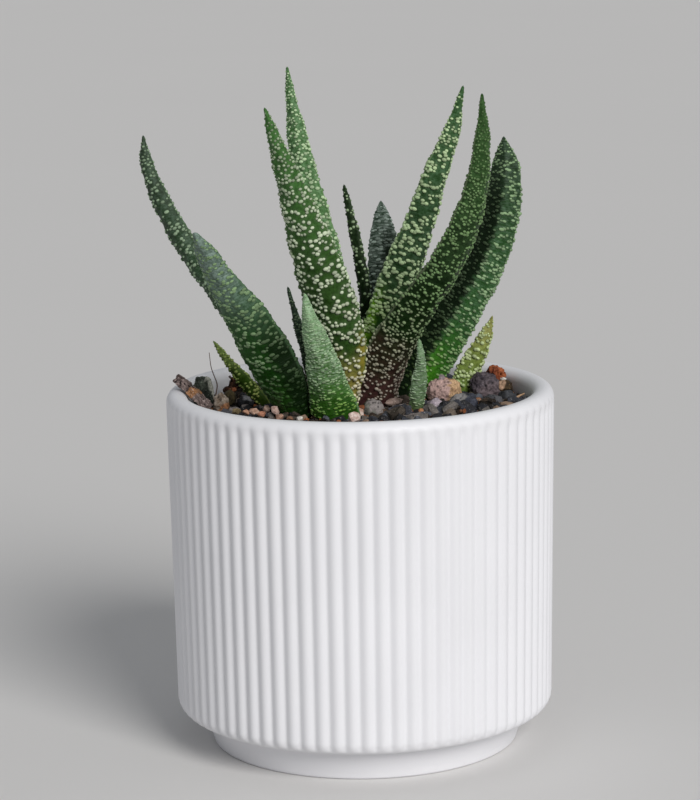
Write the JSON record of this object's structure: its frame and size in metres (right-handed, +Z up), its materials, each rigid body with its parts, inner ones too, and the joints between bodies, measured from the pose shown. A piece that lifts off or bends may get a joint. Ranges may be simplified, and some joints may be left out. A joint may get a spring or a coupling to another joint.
{
  "type": "potted succulent",
  "caption": "Young warty gasteria with thick pointed leaves in a round ribbed white ceramic pot filled with gritty soil.",
  "frame": {"origin": "centre of the pot's flat foot, on the pot's axis", "axes": "+Z up along the pot's axis, -Y is the front of the plant, +X to the right seen from the front"},
  "size_m": [0.1169, 0.11, 0.1913],
  "materials": {
    "ceramic": "matt white slip-cast ceramic",
    "soil": "dark gritty potting mix",
    "stem": "fleshy stem and roots",
    "leaf_dark": "dark green waxy leaf, pale warts",
    "leaf_mid": "green waxy leaf, pale warts",
    "leaf_bloom": "green leaf with a blue-grey bloom",
    "leaf_purple": "green leaf, purple-brown at its base",
    "leaf_young": "yellow-green young leaf",
    "stone_tan": "tan and pink stone",
    "stone_lava": "porous purple-grey stone",
    "stone_slate": "blue-grey stone",
    "stone_scoria": "porous orange-red stone",
    "stone_brown": "brown stone",
    "stone_grey": "grey stone",
    "stone_lilac": "white-lilac pebble",
    "stone_quartz": "white quartz chip",
    "stone_green": "grey-green pebble",
    "stone_black": "black stone",
    "stone_cream": "cream stone chip",
    "bark": "weathered bark",
    "bark_dark": "dark weathered bark"
  },
  "bodies": {
    "root": {"bark_curl": "bark_dark", "bark_lump": "bark_dark", "bark_slab": "bark", "chip_cream": "stone_cream", "chip_flat": "stone_cream", "leaf_01": "leaf_dark", "leaf_02": "leaf_bloom", "leaf_03": "leaf_mid", "leaf_04": "leaf_mid", "leaf_05": "leaf_dark", "leaf_06": "leaf_dark", "leaf_07": "leaf_mid", "leaf_08": "leaf_purple", "leaf_09": "leaf_dark", "leaf_10": "leaf_bloom", "leaf_11": "leaf_bloom", "leaf_12": "leaf_young", "leaf_13": "leaf_young", "leaf_14": "leaf_dark", "pot": "ceramic", "rock_black": "stone_black", "rock_brown": "stone_brown", "rock_dark": "stone_slate", "rock_green": "stone_green", "rock_grey": "stone_grey", "rock_lava": "stone_lava", "rock_lilac": "stone_lilac", "rock_quartz": "stone_quartz", "rock_round": "stone_grey", "rock_scoria": "stone_scoria", "rock_slate": "stone_slate", "rock_tan": "stone_tan", "soil": "soil", "stem": "stem"}
  },
  "joints": []
}
